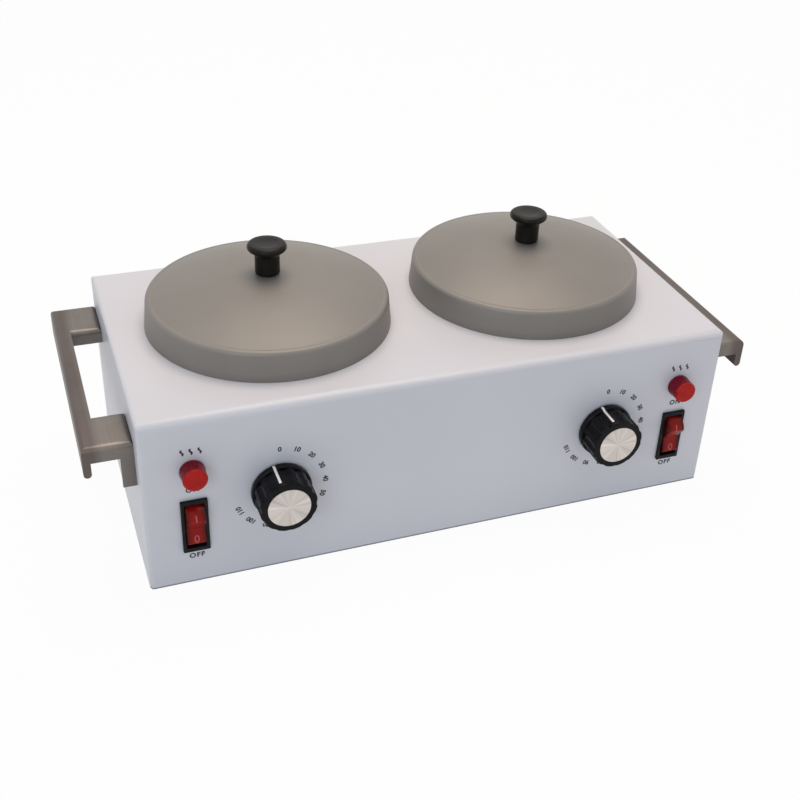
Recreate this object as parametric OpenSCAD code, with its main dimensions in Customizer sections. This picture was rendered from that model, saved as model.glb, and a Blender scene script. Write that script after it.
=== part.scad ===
// Double wax warmer: a folded steel box with two heated wells, lift-out pots and lids.
// Origin: centre of the outline at table level. X runs along the front, Y to the back, Z up.

/* [Housing] */
// Width of the housing
body_w = 310; // [300:1:330]
// Depth of the housing
body_d = 155; // [152:1:170]
// Height of the housing above its bottom edge
body_h = 97; // [95:1:110]
// Thickness of the steel sheet
sheet_t = 1.2; // [1:0.1:1.5]
// Outer radius of the folds along the front and back of the top
bend_r = 4.5; // [3:0.5:6]
// Outer radius of the folds at the two ends and down the corners
end_bend_r = 2.5; // [2:0.5:3]
// Width of the lips folded in along the bottom
lip_w = 21; // [20:1:22]

/* [Base] */
// Height of the rubber feet
foot_h = 4; // [3.5:0.5:8]
// Radius of the rubber feet
foot_r = 8; // [7.5:0.5:9]
// Thickness of the base plate
plate_t = 1; // [0.8:0.1:1.5]

/* [Wells and pots] */
// Distance of each well from the middle
well_x = 72.9; // [72:0.1:76]
// Distance of the wells behind the middle
well_y = 3.6; // [0:0.1:5]
// Outer radius of a well
well_r = 57; // [55:0.5:57]
// Depth of a well below the top of the housing
well_depth = 80; // [70:1:82]
// Outer radius of a pot
pot_r = 55; // [50:0.5:55]
// Depth of a pot below its rim
pot_depth = 78; // [60:1:79]
// Wall of the wells and pots
cup_t = 1.2; // [1:0.1:1.5]

/* [Lids] */
// Outer radius of a lid at its foot
lid_r = 63.9; // [63.5:0.1:66]
// Outer radius of a lid at its rounded edge
lid_top_r = 62.4; // [62:0.1:63]
// Height of a lid at its edge
lid_h = 15.8; // [14:0.2:20]
// Rise of the dome above the edge
dome_rise = 10.8; // [6:0.1:12]
// Thickness of the spun lid
lid_t = 1; // [0.8:0.1:1.2]
// Height of the knob of a lid
grip_h = 16.7; // [14:0.1:20]
// Radius of the flared top of that knob
grip_r = 10.2; // [9:0.1:12]

/* [Controls] */
// Distance of each dial from the middle
dial_x = 88.6; // [86:0.1:90]
// Height of the dials above the bottom edge
dial_z = 48.4; // [44:0.1:52]
// Radius of the round skirt of a dial knob
dial_r = 15.1; // [14.5:0.1:16]
// Radius of the fluted grip of a dial knob
dial_face_r = 14.3; // [13:0.1:14.5]
// Depth of a dial knob
dial_deep = 15.8; // [15:0.1:20]
// Turn of the pointer at rest, clockwise from the top
pointer_turn = -14; // [-20:1:0]
// Distance of each switch from the middle
switch_x = 131.2; // [130:0.1:136]
// Height of the switches above the bottom edge
switch_z = 35.6; // [30:0.1:38]
// Turn of a rocker from its middle to either side
rock_angle = 11; // [8:1:11]
// Distance of each pilot lamp from the middle
lamp_x = 130.8; // [128:0.1:136]
// Height of the pilot lamps above the bottom edge
lamp_z = 68; // [66:0.1:72]
// Radius of a lamp lens
lens_r = 6; // [5.5:0.1:6.1]
// Distance that a lens stands out of the panel
lens_out = 9.4; // [6:0.1:10]

/* [Side brackets] */
// Distance from the middle to the outer face of a bracket
bracket_x = 178.8; // [174:0.1:185]
// Height of the top of a bracket above the bottom edge
bracket_z = 80.8; // [76:0.1:86]
// Front edge of a bracket
bracket_front = -65; // [-67:0.5:-60]
// Back edge of a bracket
bracket_back = 72.4; // [65:0.1:74]
// Front edge of the grip window
window_front = -38; // [-40:0.5:-30]
// Back edge of the grip window
window_back = 44.3; // [36:0.1:46]
// Width of the outer rail
rail_w = 7.8; // [7:0.1:10]
// Height of the hemmed flange of the rail
flange_h = 16.5; // [14:0.5:20]
// Thickness of the bracket steel
bracket_t = 1.9; // [1.5:0.1:2]

/* [Hidden] */
$fn = 96;
eps = 0.01;

// Clearances: a running fit for pins and shafts, and a loose one for screws and covers
run_gap = 0.05;
loose_gap = 0.3;

// Levels
plate_z = foot_h;
edge_z = plate_z + plate_t;
top_z = edge_z + body_h;
rest_z = top_z + cup_t;
front_y = -body_d / 2;
back_y = body_d / 2;
side_x = body_w / 2;
inner_front = front_y + sheet_t;
inner_back = back_y - sheet_t;

// M4 and M3 hardware
m4_r = 1.95;
m4_hole_r = 2.1;
m4_head_r = 3.8;
m4_head_h = 2.2;
m4_nut_r = 4.04;
m4_nut_h = 3.2;
m3_r = 1.45;
m3_hole_r = 1.6;
m3_head_r = 2.8;
m3_head_h = 1.8;
hex_sides = 6;

// Base
foot_x = 138;
foot_y = 61.5;
tie_x = 60;
foot_recess_r = 4.4;
foot_recess_h = 2.4;
vent_l = 40;
vent_w = 4;
vent_pitch = 10;
vent_rows = 3;

// Wells, posts and heater bands
well_rim_r = 61;
cup_corner = 6;
post_r = 4;
post_ring_r = 38;
post_count = 3;
post_turn = 30;
well_floor_z = top_z - well_depth;
band_t = 2.4;
band_z = well_floor_z + 12;
band_h = 38;
band_gap = 9;
band_ear = 8;
ear_t = 1.4;
cutout_r = 8;
cutout_h = 9;
cutout_pin_h = 4;
cutout_pin_w = 6.3;

// Pots
pot_rim_r = 59.3;
bead_r = 1.2;

// Lid knob
grip_neck_r = 6.4;
grip_foot_edge_r = 1;
grip_flare_h = 6.4;
grip_lip_r = 1.9;
grip_dish = 0.4;
grip_bore = 10;
lid_edge_r = 2.5;
dome_base_r = 59.5;

// Dials and thermostats
dial_gap = 1;
dial_back = front_y - dial_gap;
dial_front = dial_back - dial_deep;
skirt_t = 3;
skirt_edge_r = 0.8;
lobes = 12;
lobe_cut_r = 5;
lobe_cut_deep = 0.8;
dial_edge_r = 1;
hollow_r = 10.5;
hollow_deep = 5;
shaft_r = 3;
cap_r = 10.6;
cap_sunk = 0.5;
cap_out = 0.3;
cap_dish_r = 9.4;
bush_r = 4.75;
bush_out = 4;
bush_hole_r = 4.95;
stat_w = 34;
stat_h = 32;
stat_deep = 16;
stat_front_t = 2;
stat_nut_r = 8.1;
stat_nut_t = 2.4;
shaft_in = 12;
blade_w = 6.3;
blade_t = 0.8;
blade_l = 8;
tube_r = 1;
bulb_r = 3;
bulb_h = 50;

// Rocker switches, measured outwards from the pivot
bezel_w = 13.2;
bezel_h = 30.4;
bezel_t = 1.8;
switch_w = 11.6;
switch_h = 28;
mouth_w = 9.6;
mouth_h = 26;
switch_deep = 21;
mouth_deep = 8;
pivot_in = 2;
rocker_w = 9.2;
pivot_pin_r = 1.2;
face_mid = 4.15;
hump_r = 7;
hump_out = 0.5;
hump_half = 5.2;
tail_in = 3.5;

// Pilot lamps
collar_r = 5.9;
collar_t = 0.6;
lens_rim_r = 6.2;
lens_rim_t = 1.6;
lamp_stem_r = 4.9;
lamp_hole_r = 5.1;
lamp_deep = 17;
lamp_bore_r = 3.9;
lens_dome_r = 1.4;
lens_wall = 1.1;
neon_r = 2.4;
neon_l = 15;
lamp_nut_r = 7.5;
lamp_nut_t = 3;

// Brackets
hem_up = 12.7;
edge_flange_h = 8.5;
front_tab_bottom = 55.5;
back_tab_bottom = 66;
back_tab_start = 56;
stiffener_w = 6.5;
web_bend_r = 3;
rail_bend_r = 3;
front_bolts = [[-53, 68], [-43.5, 68]];
back_bolts = [[64.2, 72.4]];

// Cable gland, as far out at the back as the dials are at the front
gland_x = -105;
gland_z = 27;
gland_out = dial_gap + dial_deep + cap_out;
gland_bore_r = 3.3;
gland_thread_r = 6.2;
gland_hole_r = 6.4;
gland_in = 10.5;
gland_hex_r = 9.2;
gland_hex_t = 5;
gland_dome_r = 7.8;
gland_tip_r = 5.6;
gland_nut_r = 9.8;
gland_nut_t = 4;

// Terminal block
block_y = -46;
block_w = 36;
block_d = 14;
block_h = 13;
block_ways = 3;
block_bore = 7;
way_r = 1.9;
wire_r = 1.1;

// Plain helpers
module at_well(side) {
    translate([side * well_x, well_y, 0]) children();
}

module facing_front(x, z) {
    translate([x, 0, z]) rotate([90, 0, 0]) children();
}

module facing_side(side, y, z) {
    translate([0, y, z]) rotate([0, side * 90, 0]) children();
}

module pan_screw(length) {
    cylinder(r = m4_head_r, h = m4_head_h);
    translate([0, 0, -length]) cylinder(r = m4_r, h = length + eps);
}

module hex_nut(across_r, bore_r, height) {
    difference() {
        cylinder(r = across_r, h = height, $fn = hex_sides);
        translate([0, 0, -eps]) cylinder(r = bore_r, h = height + 2 * eps);
    }
}

// A straight round rod between two points
module rod(from, to, radius) {
    run = to - from;
    length = norm(run);
    lean = acos(run[2] / length);
    heading = atan2(run[1], run[0]);
    translate(from) rotate([0, lean, heading]) cylinder(r = radius, h = length, $fn = 24);
}

// A line of rods, with a slightly thicker ball at each bend
module bent_line(points, radius) {
    for (i = [0 : len(points) - 2]) rod(points[i], points[i + 1], radius);
    for (i = [1 : len(points) - 2]) translate(points[i]) sphere(r = 1.25 * radius, $fn = 24);
}

// A block with round folds along its top and down its corners
module folded_box(width, depth, height, top_r, end_r) {
    intersection() {
        along_x(width) cover_section(depth, height, top_r);
        along_y(-depth / 2, depth / 2) cover_section(width, height, end_r);
        linear_extrude(height) union() {
            square([width - 2 * end_r, depth], center = true);
            square([width, depth - 2 * end_r], center = true);
            for (x = [-1, 1], y = [-1, 1])
                translate([x * (width / 2 - end_r), y * (depth / 2 - end_r)]) circle(end_r);
        }
    }
}

// Section of a folded cover: square at the bottom, with rounded folds at the top
module cover_section(width, height, radius) {
    translate([-width / 2, 0]) square([width, height - radius]);
    translate([radius - width / 2, 0]) square([width - 2 * radius, height]);
    for (side = [-1, 1]) translate([side * (width / 2 - radius), height - radius]) circle(radius);
}

module along_x(length) {
    translate([-length / 2, 0, 0]) rotate([90, 0, 90]) linear_extrude(length) children();
}

module housing() {
    color("whitesmoke") difference() {
        union() {
            translate([0, 0, edge_z]) cover();
            lips();
        }
        at_wells() translate([0, 0, top_z - bend_r]) cylinder(r = well_r + loose_gap, h = 2 * bend_r);
        panel_holes();
        bracket_holes();
        base_holes();
    }
}

module cover() {
    difference() {
        folded_box(body_w, body_d, body_h, bend_r, end_bend_r);
        translate([0, 0, -eps]) folded_box(body_w - 2 * sheet_t, body_d - 2 * sheet_t,
            body_h - sheet_t + eps, bend_r - sheet_t, end_bend_r - sheet_t);
    }
}

module at_wells() {
    for (side = [-1, 1]) at_well(side) children();
}

module lips() {
    lip_l = body_w - 2 * sheet_t;
    for (y = [inner_front, inner_back - lip_w])
        translate([-lip_l / 2, y, edge_z]) cube([lip_l, lip_w, sheet_t]);
}

module panel_holes() {
    for (side = [-1, 1]) {
        facing_front(side * dial_x, edge_z + dial_z) through_front(bush_hole_r);
        facing_front(side * lamp_x, edge_z + lamp_z) through_front(lamp_hole_r);
        translate([side * switch_x, front_y, edge_z + switch_z])
            cube([switch_w + loose_gap, bend_r, switch_h + loose_gap], center = true);
    }
    facing_front(gland_x, gland_z) translate([0, 0, -back_y - eps])
        cylinder(r = gland_hole_r, h = bend_r);
}

module through_front(radius) {
    translate([0, 0, -inner_front - bend_r / 2]) cylinder(r = radius, h = bend_r);
}

// Screw places
module at_feet() {
    for (x = [-foot_x, foot_x], y = [-foot_y, foot_y]) translate([x, y, 0]) children();
}

module at_ties() {
    for (x = [-tie_x, tie_x], y = [-foot_y, foot_y]) translate([x, y, 0]) children();
}

module base_holes() {
    at_feet() translate([0, 0, plate_z - eps]) cylinder(r = m4_hole_r, h = bend_r);
    at_ties() translate([0, 0, plate_z - eps]) cylinder(r = m4_hole_r, h = bend_r);
}

module at_bracket_bolts(side) {
    for (place = concat(front_bolts, back_bolts))
        facing_side(side, place[0], edge_z + place[1]) translate([0, 0, side_x]) children();
}

module bracket_holes() {
    for (side = [-1, 1]) at_bracket_bolts(side)
        translate([0, 0, -bend_r]) cylinder(r = m4_hole_r, h = 2 * bend_r);
}

module base_plate() {
    inset = 1;
    color("silver") difference() {
        translate([inset - side_x, inset + front_y, plate_z])
            cube([body_w - 2 * inset, body_d - 2 * inset, plate_t]);
        base_holes();
        at_posts() translate([0, 0, plate_z - plate_t]) cylinder(r = m4_hole_r, h = bend_r);
        vents();
        at_block_screws() translate([0, 0, plate_z - plate_t]) cylinder(r = m3_hole_r, h = bend_r);
        at_earth() translate([0, 0, plate_z - plate_t]) cylinder(r = m4_hole_r, h = bend_r);
    }
}

// Rows of round-ended slots under each well
module vents() {
    for (side = [-1, 1], row = [0 : vent_rows - 1])
        translate([side * well_x, well_y + (row - (vent_rows - 1) / 2) * vent_pitch, plate_z - plate_t])
            slot(vent_l, vent_w, bend_r);
}

module slot(length, width, height) {
    straight = length - width;
    translate([-straight / 2, -width / 2, 0]) cube([straight, width, height]);
    for (end = [-1, 1]) translate([end * straight / 2, 0, 0]) cylinder(d = width, h = height);
}

module rubber_feet() {
    color("dimgray") at_feet() difference() {
        cylinder(r = foot_r, h = foot_h);
        translate([0, 0, -eps]) cylinder(r = foot_recess_r, h = foot_recess_h + 2 * eps);
        cylinder(r = m4_hole_r, h = foot_h + eps);
    }
}

module base_screws() {
    grip_up = m4_nut_h + sheet_t + plate_t;
    color("silver") {
        at_feet() translate([0, 0, foot_recess_h]) mirror([0, 0, 1])
            pan_screw(foot_h - foot_recess_h + grip_up);
        at_ties() translate([0, 0, plate_z]) mirror([0, 0, 1]) pan_screw(grip_up);
    }
}

module base_nuts() {
    color("silver") {
        at_feet() translate([0, 0, edge_z + sheet_t]) hex_nut(m4_nut_r, m4_r, m4_nut_h);
        at_ties() translate([0, 0, edge_z + sheet_t]) hex_nut(m4_nut_r, m4_r, m4_nut_h);
    }
}

// Half section of a round cup with its mouth at height 0
module cup_section(radius, depth, corner) {
    translate([0, -depth]) square([radius - corner, depth]);
    translate([0, corner - depth]) square([radius, depth - corner]);
    intersection() {
        translate([radius - corner, corner - depth]) circle(corner);
        translate([0, -depth]) square([radius, depth]);
    }
}

module cup_wall(radius, depth) {
    difference() {
        cup_section(radius, depth, cup_corner);
        translate([0, eps]) cup_section(radius - cup_t, depth - cup_t + eps, cup_corner - cup_t);
    }
}

module well(side) {
    color("gainsboro") at_well(side) translate([0, 0, top_z]) rotate_extrude() {
        cup_wall(well_r, well_depth);
        translate([well_r - cup_t, 0]) square([well_rim_r - well_r + cup_t, cup_t]);
    }
}

module pot(side) {
    color("lightgray") at_well(side) translate([0, 0, rest_z]) rotate_extrude() {
        cup_wall(pot_r, pot_depth);
        translate([pot_r - cup_t, 0]) square([pot_rim_r - pot_r + cup_t, cup_t]);
        translate([pot_rim_r, bead_r]) circle(bead_r, $fn = 32);
    }
}

module at_posts() {
    at_wells() for (i = [0 : post_count - 1]) rotate(post_turn + i * 360 / post_count)
        translate([post_ring_r, 0, 0]) children();
}

module well_posts() {
    post_h = well_floor_z - edge_z;
    color("gray") at_posts() translate([0, 0, edge_z]) difference() {
        cylinder(r = post_r, h = post_h);
        translate([0, 0, -eps]) cylinder(r = m4_r, h = post_h / 2);
    }
}

module post_screws() {
    color("silver") at_posts() translate([0, 0, plate_z]) mirror([0, 0, 1]) pan_screw(plate_t + bend_r);
}

// A flat band round the well, closed by a screw through two ears towards the middle
module heater_band(side) {
    color("tan") at_well(side) translate([0, 0, band_z]) rotate(side > 0 ? 180 : 0) difference() {
        union() {
            difference() {
                cylinder(r = well_r + band_t, h = band_h);
                translate([0, 0, -eps]) cylinder(r = well_r, h = band_h + 2 * eps);
                translate([0, -band_gap / 2, -eps]) cube([2 * well_r, band_gap, band_h + 2 * eps]);
            }
            for (y = [-band_gap / 2 - ear_t, band_gap / 2])
                translate([well_r + band_t / 2, y, 0]) cube([band_ear, ear_t, band_h]);
        }
        band_screw_place() cylinder(r = m4_hole_r, h = 4 * band_gap, center = true);
    }
}

module band_screw_place() {
    translate([well_r + band_t + band_ear / 2, 0, band_h / 2]) rotate([90, 0, 0]) children();
}

module band_screws() {
    screw_face = band_gap / 2 + ear_t;
    color("silver") for (side = [-1, 1]) at_well(side) translate([0, 0, band_z])
        rotate(side > 0 ? 180 : 0) band_screw_place() {
            translate([0, 0, screw_face]) pan_screw(2 * screw_face);
            translate([0, 0, -screw_face - m4_nut_h]) cylinder(r = m4_nut_r, h = m4_nut_h, $fn = hex_sides);
        }
}

module thermal_cutouts() {
    color("black") at_wells() translate([0, 0, well_floor_z - cutout_h]) {
        cylinder(r = cutout_r, h = cutout_h);
        for (y = [-1, 1]) translate([-cutout_pin_w / 2, y * cutout_r / 2 - blade_t / 2, -cutout_pin_h])
            cube([cutout_pin_w, blade_t, cutout_pin_h + eps]);
    }
}

// Half section of a lid, set in by the given thickness
module lid_section(inset) {
    slope = (lid_r - lid_top_r) / lid_h;
    lean = sqrt(1 + slope * slope);
    edge_r = lid_edge_r - inset;
    edge_z0 = lid_h - lid_edge_r;
    edge_x = lid_r - slope * edge_z0 - lid_edge_r * lean;
    touch_x = edge_x + edge_r / lean;
    touch_z = edge_z0 + edge_r * slope / lean;
    dome_r = (dome_base_r * dome_base_r + dome_rise * dome_rise) / (2 * dome_rise);
    polygon([[0, 0], [touch_x + slope * touch_z, 0], [touch_x, touch_z], [edge_x, edge_z0],
        [edge_x, lid_h - inset], [0, lid_h - inset]]);
    intersection() {
        translate([edge_x, edge_z0]) circle(edge_r, $fn = 48);
        square([lid_r, lid_h]);
    }
    intersection() {
        translate([0, lid_h + dome_rise - dome_r]) circle(dome_r - inset, $fn = 360);
        translate([0, lid_h / 2]) square([edge_x, lid_h + dome_rise]);
    }
}

module lid(side) {
    color("darkgray") at_well(side) translate([0, 0, top_z]) difference() {
        rotate_extrude() difference() {
            lid_section(0);
            translate([0, -eps]) lid_section(lid_t);
        }
        cylinder(r = m4_hole_r, h = 2 * lid_h);
    }
}

module lid_knob(side) {
    foot_z = lid_h + dome_rise;
    foot_in = grip_neck_r - grip_foot_edge_r;
    rim_x = grip_r - grip_lip_r;
    color("#221e1c") at_well(side) translate([0, 0, top_z + foot_z]) difference() {
        rotate_extrude() {
            polygon([[0, 0], [foot_in, 0], [foot_in, grip_foot_edge_r], [grip_neck_r, grip_foot_edge_r],
                [grip_neck_r, grip_h - grip_flare_h], [rim_x, grip_h - 2 * grip_lip_r], [rim_x, grip_h],
                [0, grip_h]]);
            translate([foot_in, grip_foot_edge_r]) circle(grip_foot_edge_r, $fn = 48);
            translate([rim_x, grip_h - grip_lip_r]) circle(grip_lip_r, $fn = 48);
        }
        translate([0, 0, grip_h - grip_dish + dish_r(grip_r - 2 * grip_lip_r, grip_dish)])
            sphere(dish_r(grip_r - 2 * grip_lip_r, grip_dish), $fn = 200);
        translate([0, 0, -eps]) cylinder(r = m4_r, h = grip_bore);
    }
}

// Radius of the ball that cuts a dish of a given width and depth
function dish_r(half, deep) = (half * half + deep * deep) / (2 * deep);

module lid_screw(side) {
    under_z = top_z + lid_h + dome_rise - lid_t - loose_gap / 2;
    color("silver") at_well(side) translate([0, 0, under_z]) mirror([0, 0, 1])
        pan_screw(lid_t + grip_bore - loose_gap);
}

// Turns a shape from its own +Z to the front, about the axis of a dial
module at_dial(side) {
    facing_front(side * dial_x, edge_z + dial_z) rotate(-pointer_turn) children();
}

// A disc on the XY plane with its far edge rounded
module rounded_disc(radius, height, edge_r) {
    rotate_extrude() {
        square([radius - edge_r, height]);
        square([radius, height - edge_r]);
        translate([radius - edge_r, height - edge_r]) circle(edge_r, $fn = 48);
    }
}

// Round skirt at the panel, and a grip with flutes along it
module dial_knob(side) {
    color("#141414") at_dial(side) translate([0, 0, -dial_back]) difference() {
        union() {
            rounded_disc(dial_r, skirt_t, skirt_edge_r);
            rounded_disc(dial_face_r, dial_deep, dial_edge_r);
        }
        for (i = [0 : lobes - 1]) rotate((i + 0.5) * 360 / lobes)
            translate([dial_face_r + lobe_cut_r - lobe_cut_deep, 0, skirt_t])
            cylinder(r = lobe_cut_r, h = dial_deep);
        translate([0, 0, -eps]) cylinder(r = hollow_r, h = hollow_deep);
        cylinder(r = shaft_r, h = dial_deep - 3 * cap_sunk);
        translate([0, 0, dial_deep - cap_sunk]) cylinder(r = cap_r, h = dial_deep);
    }
}

module dial_cap(side) {
    dish = dish_r(cap_dish_r, cap_out);
    color("#c9c2ba") at_dial(side) translate([0, 0, -dial_front - cap_sunk]) rotate_extrude() difference() {
        square([cap_r, cap_sunk + cap_out]);
        translate([0, cap_sunk + dish]) circle(dish, $fn = 360);
    }
}

module thermostat(side) {
    color("#8a7a5a") facing_front(side * dial_x, edge_z + dial_z) translate([0, 0, -inner_front]) difference() {
        union() {
            cylinder(r = bush_r, h = sheet_t + bush_out);
            translate([-stat_w / 2, -stat_h / 2, -stat_front_t]) cube([stat_w, stat_h, stat_front_t]);
            translate([1 - stat_w / 2, 1 - stat_h / 2, -stat_deep])
                cube([stat_w - 2, stat_h - 2, stat_deep - stat_front_t + eps]);
            for (x = [-1, 1]) translate([x * stat_w / 4 - blade_w / 2, -stat_h / 2 - blade_l, -stat_deep / 2])
                cube([blade_w, blade_l + 2, blade_t]);
        }
        translate([0, 0, -shaft_in]) cylinder(r = shaft_r + run_gap, h = dial_deep * 2);
    }
}

module thermostat_shaft(side) {
    shaft_end = dial_deep - 3 * cap_sunk - dial_back;
    color("silver") at_dial(side) translate([0, 0, -inner_front - shaft_in + run_gap])
        cylinder(r = shaft_r, h = shaft_end + inner_front + shaft_in - 2 * run_gap);
}

module thermostat_nuts() {
    color("gold") for (side = [-1, 1]) facing_front(side * dial_x, edge_z + dial_z)
        translate([0, 0, -front_y]) hex_nut(stat_nut_r, bush_r + run_gap, stat_nut_t);
}

// Bulb held against the front of the well, with its capillary back to the thermostat
module sensor(side) {
    bulb_x = side * (well_x - 32);
    bulb_y = well_y - sqrt(pow(well_r + band_t + bulb_r + loose_gap, 2) - 32 * 32);
    bulb_z = well_floor_z + 8;
    stat_back = inner_front + stat_deep;
    color("peru") {
        translate([bulb_x, bulb_y, bulb_z]) cylinder(r = bulb_r, h = bulb_h);
        bent_line([[bulb_x, bulb_y, bulb_z + bulb_h - 1], [bulb_x, bulb_y, bulb_z + bulb_h + 8],
            [bulb_x, -67, bulb_z + bulb_h + 8], [side * dial_x, -67, bulb_z + bulb_h + 8],
            [side * dial_x, -67, edge_z + dial_z + stat_h / 2 - 1]], tube_r);
    }
}

module switch_body(side) {
    color("#111111") facing_front(side * switch_x, edge_z + switch_z) translate([0, 0, -front_y]) difference() {
        union() {
            translate([-bezel_w / 2, -bezel_h / 2, 0]) cube([bezel_w, bezel_h, bezel_t]);
            translate([-switch_w / 2, -switch_h / 2, -switch_deep])
                cube([switch_w, switch_h, switch_deep + eps]);
            for (i = [-1, 0, 1])
                translate([-blade_w / 2, i * switch_h / 3 - blade_t / 2, -switch_deep - blade_l])
                cube([blade_w, blade_t, blade_l + eps]);
        }
        translate([-mouth_w / 2, -mouth_h / 2, -pivot_in - mouth_deep])
            cube([mouth_w, mouth_h, mouth_deep + switch_deep]);
        translate([0, 0, -pivot_in]) rotate([0, 90, 0])
            cylinder(r = pivot_pin_r + run_gap, h = 2 * bezel_w, center = true);
    }
}

// Side outline of a rocker about its pivot, in its middle position: outwards is +X, up is +Y.
// Two round humps with a hollow face between them
module rocker_outline() {
    reach = hump_half + hump_r;
    face_end = face_mid + reach * tan(2 * rock_angle);
    difference() {
        union() {
            for (end = [-1, 1]) translate([hump_out, end * hump_half]) circle(hump_r);
            translate([-tail_in, -hump_half]) square([tail_in + hump_out + hump_r, 2 * hump_half]);
        }
        polygon([[face_mid, 0], [face_end, reach], [2 * reach, reach], [2 * reach, -reach],
            [face_end, -reach]]);
        translate([-tail_in - 2 * reach, -reach]) square([2 * reach, 2 * reach]);
    }
}

module rocker(side) {
    pin_l = (mouth_w + switch_w) / 2 - run_gap;
    color("#8c0f12") translate([side * switch_x, front_y + pivot_in, edge_z + switch_z])
        rotate([rock_angle, 0, 0]) {
            along_x(rocker_w) mirror([1, 0]) rocker_outline();
            rotate([0, 90, 0]) cylinder(r = pivot_pin_r, h = pin_l, center = true);
        }
}

// Pilot lamps, drawn outwards from the face of the panel
module at_lamp(side) {
    facing_front(side * lamp_x, edge_z + lamp_z) translate([0, 0, -front_y]) children();
}

module lamp_body(side) {
    color("#8b8b8b") at_lamp(side) difference() {
        union() {
            cylinder(r = collar_r, h = collar_t);
            translate([0, 0, -lamp_deep]) cylinder(r = lamp_stem_r, h = lamp_deep + eps);
        }
        translate([0, 0, 2 - lamp_deep]) cylinder(r = lamp_bore_r, h = 2 * lamp_deep);
    }
}

module lamp_lens(side) {
    spigot = 3;
    hollow_h = spigot + lens_out - 3 * lens_wall;
    color("#c4161a") at_lamp(side) translate([0, 0, collar_t]) difference() {
        union() {
            cylinder(r = lens_rim_r, h = lens_rim_t);
            rounded_disc(lens_r, lens_out - collar_t, lens_dome_r);
            translate([0, 0, -spigot]) cylinder(r = lamp_bore_r, h = spigot + eps);
        }
        translate([0, 0, -spigot - eps]) cylinder(r = lamp_bore_r - lens_wall, h = hollow_h);
    }
}

module neon_lamp(side) {
    color("orange") at_lamp(side) translate([0, 0, 2 - lamp_deep]) {
        cylinder(r = neon_r, h = neon_l);
        translate([0, 0, neon_l]) sphere(neon_r, $fn = 48);
    }
}

module lamp_nuts() {
    color("silver") for (side = [-1, 1]) at_lamp(side) translate([0, 0, -sheet_t - lamp_nut_t])
        hex_nut(lamp_nut_r, lamp_stem_r, lamp_nut_t);
}

// One side bracket, drawn at +X and mirrored for the other side
module bracket(side) {
    color("#7d7872") mirror([side < 0 ? 1 : 0, 0, 0]) difference() {
        translate([0, 0, edge_z]) {
            round_edges(bracket_front, bracket_back) along_y(bracket_front, bracket_back) rail_section();
            cross_piece(bracket_front, window_front);
            cross_piece(window_back, bracket_back);
            tab(bracket_front, window_front, front_tab_bottom);
            tab(window_back, bracket_back, bracket_z - edge_flange_h);
            tab(back_tab_start, bracket_back, back_tab_bottom);
            translate([side_x + bracket_t - eps, bracket_front, front_tab_bottom])
                cube([stiffener_w - bracket_t, bracket_t, bracket_z - edge_flange_h + eps - front_tab_bottom]);
        }
        at_bracket_bolts(1) translate([0, 0, -eps]) cylinder(r = m4_hole_r, h = bend_r);
    }
}

module along_y(from, to) {
    translate([0, to, 0]) rotate([90, 0, 0]) linear_extrude(to - from) children();
}

// Quarter ring of sheet, with its round side towards the given corner
module sheet_fold(radius) {
    intersection() {
        difference() {
            circle(radius, $fn = 64);
            circle(radius - bracket_t, $fn = 64);
        }
        square(radius);
    }
}

// Rounds the two top edges of a piece of bracket that runs along Y
module round_edges(from, to) {
    intersection() {
        children();
        translate([side_x, (from + to) / 2, bracket_z - flange_h])
            along_x(2 * bracket_x) cover_section(to - from, flange_h, rail_bend_r);
    }
}

// Outer rail: web, fold, flange and the closed hem turned up inside it
module rail_section() {
    hem_z = bracket_z - flange_h + bracket_t;
    rail_x = bracket_x - rail_w;
    translate([rail_x, bracket_z - bracket_t]) square([rail_w - rail_bend_r, bracket_t]);
    translate([bracket_x - rail_bend_r, bracket_z - rail_bend_r]) sheet_fold(rail_bend_r);
    translate([bracket_x - bracket_t, hem_z]) square([bracket_t, bracket_z - rail_bend_r - hem_z]);
    translate([bracket_x - bracket_t, hem_z]) circle(bracket_t, $fn = 64);
    translate([bracket_x - 2 * bracket_t, hem_z]) square([bracket_t + eps, hem_up]);
}

// Cross-piece: a channel open downwards, folded down where it meets the housing
module cross_piece(from, to) {
    reach = bracket_x - rail_bend_r;
    translate([(side_x + web_bend_r + reach) / 2, (from + to) / 2, bracket_z - edge_flange_h])
        channel(reach - side_x - web_bend_r, to - from);
    round_edges(from, to) {
        along_y(from, to) translate([side_x + web_bend_r, bracket_z - web_bend_r])
            rotate(90) sheet_fold(web_bend_r);
        for (y = [from, to - bracket_t])
            translate([side_x + bracket_t - eps, y, bracket_z - edge_flange_h])
            cube([web_bend_r - bracket_t + 2 * eps, bracket_t, edge_flange_h - bracket_t]);
    }
}

// Tab that lies on the end of the housing and is bolted to it
module tab(from, to, bottom) {
    along_y(from, to) translate([side_x, bottom]) square([bracket_t, bracket_z - web_bend_r - bottom]);
}

module channel(length, width) {
    flange_end = 2 * bracket_t - eps;
    difference() {
        along_x(length) cover_section(width, edge_flange_h, rail_bend_r);
        translate([0, 0, -eps]) along_x(length + 2 * eps)
            cover_section(width - 2 * bracket_t, edge_flange_h - bracket_t + eps, rail_bend_r - bracket_t);
        translate([length / 2 + rail_bend_r - flange_end, -width, -eps])
            cube([flange_end, 2 * width, edge_flange_h - rail_bend_r]);
    }
}

module bracket_screws() {
    color("silver") for (side = [-1, 1]) at_bracket_bolts(side)
        translate([0, 0, bracket_t]) pan_screw(bracket_t + sheet_t + m4_nut_h);
}

module bracket_nuts() {
    color("silver") for (side = [-1, 1]) at_bracket_bolts(side)
        translate([0, 0, -sheet_t - m4_nut_h]) hex_nut(m4_nut_r, m4_r, m4_nut_h);
}

module at_gland() {
    translate([gland_x, back_y, gland_z]) rotate([-90, 0, 0]) children();
}

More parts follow.
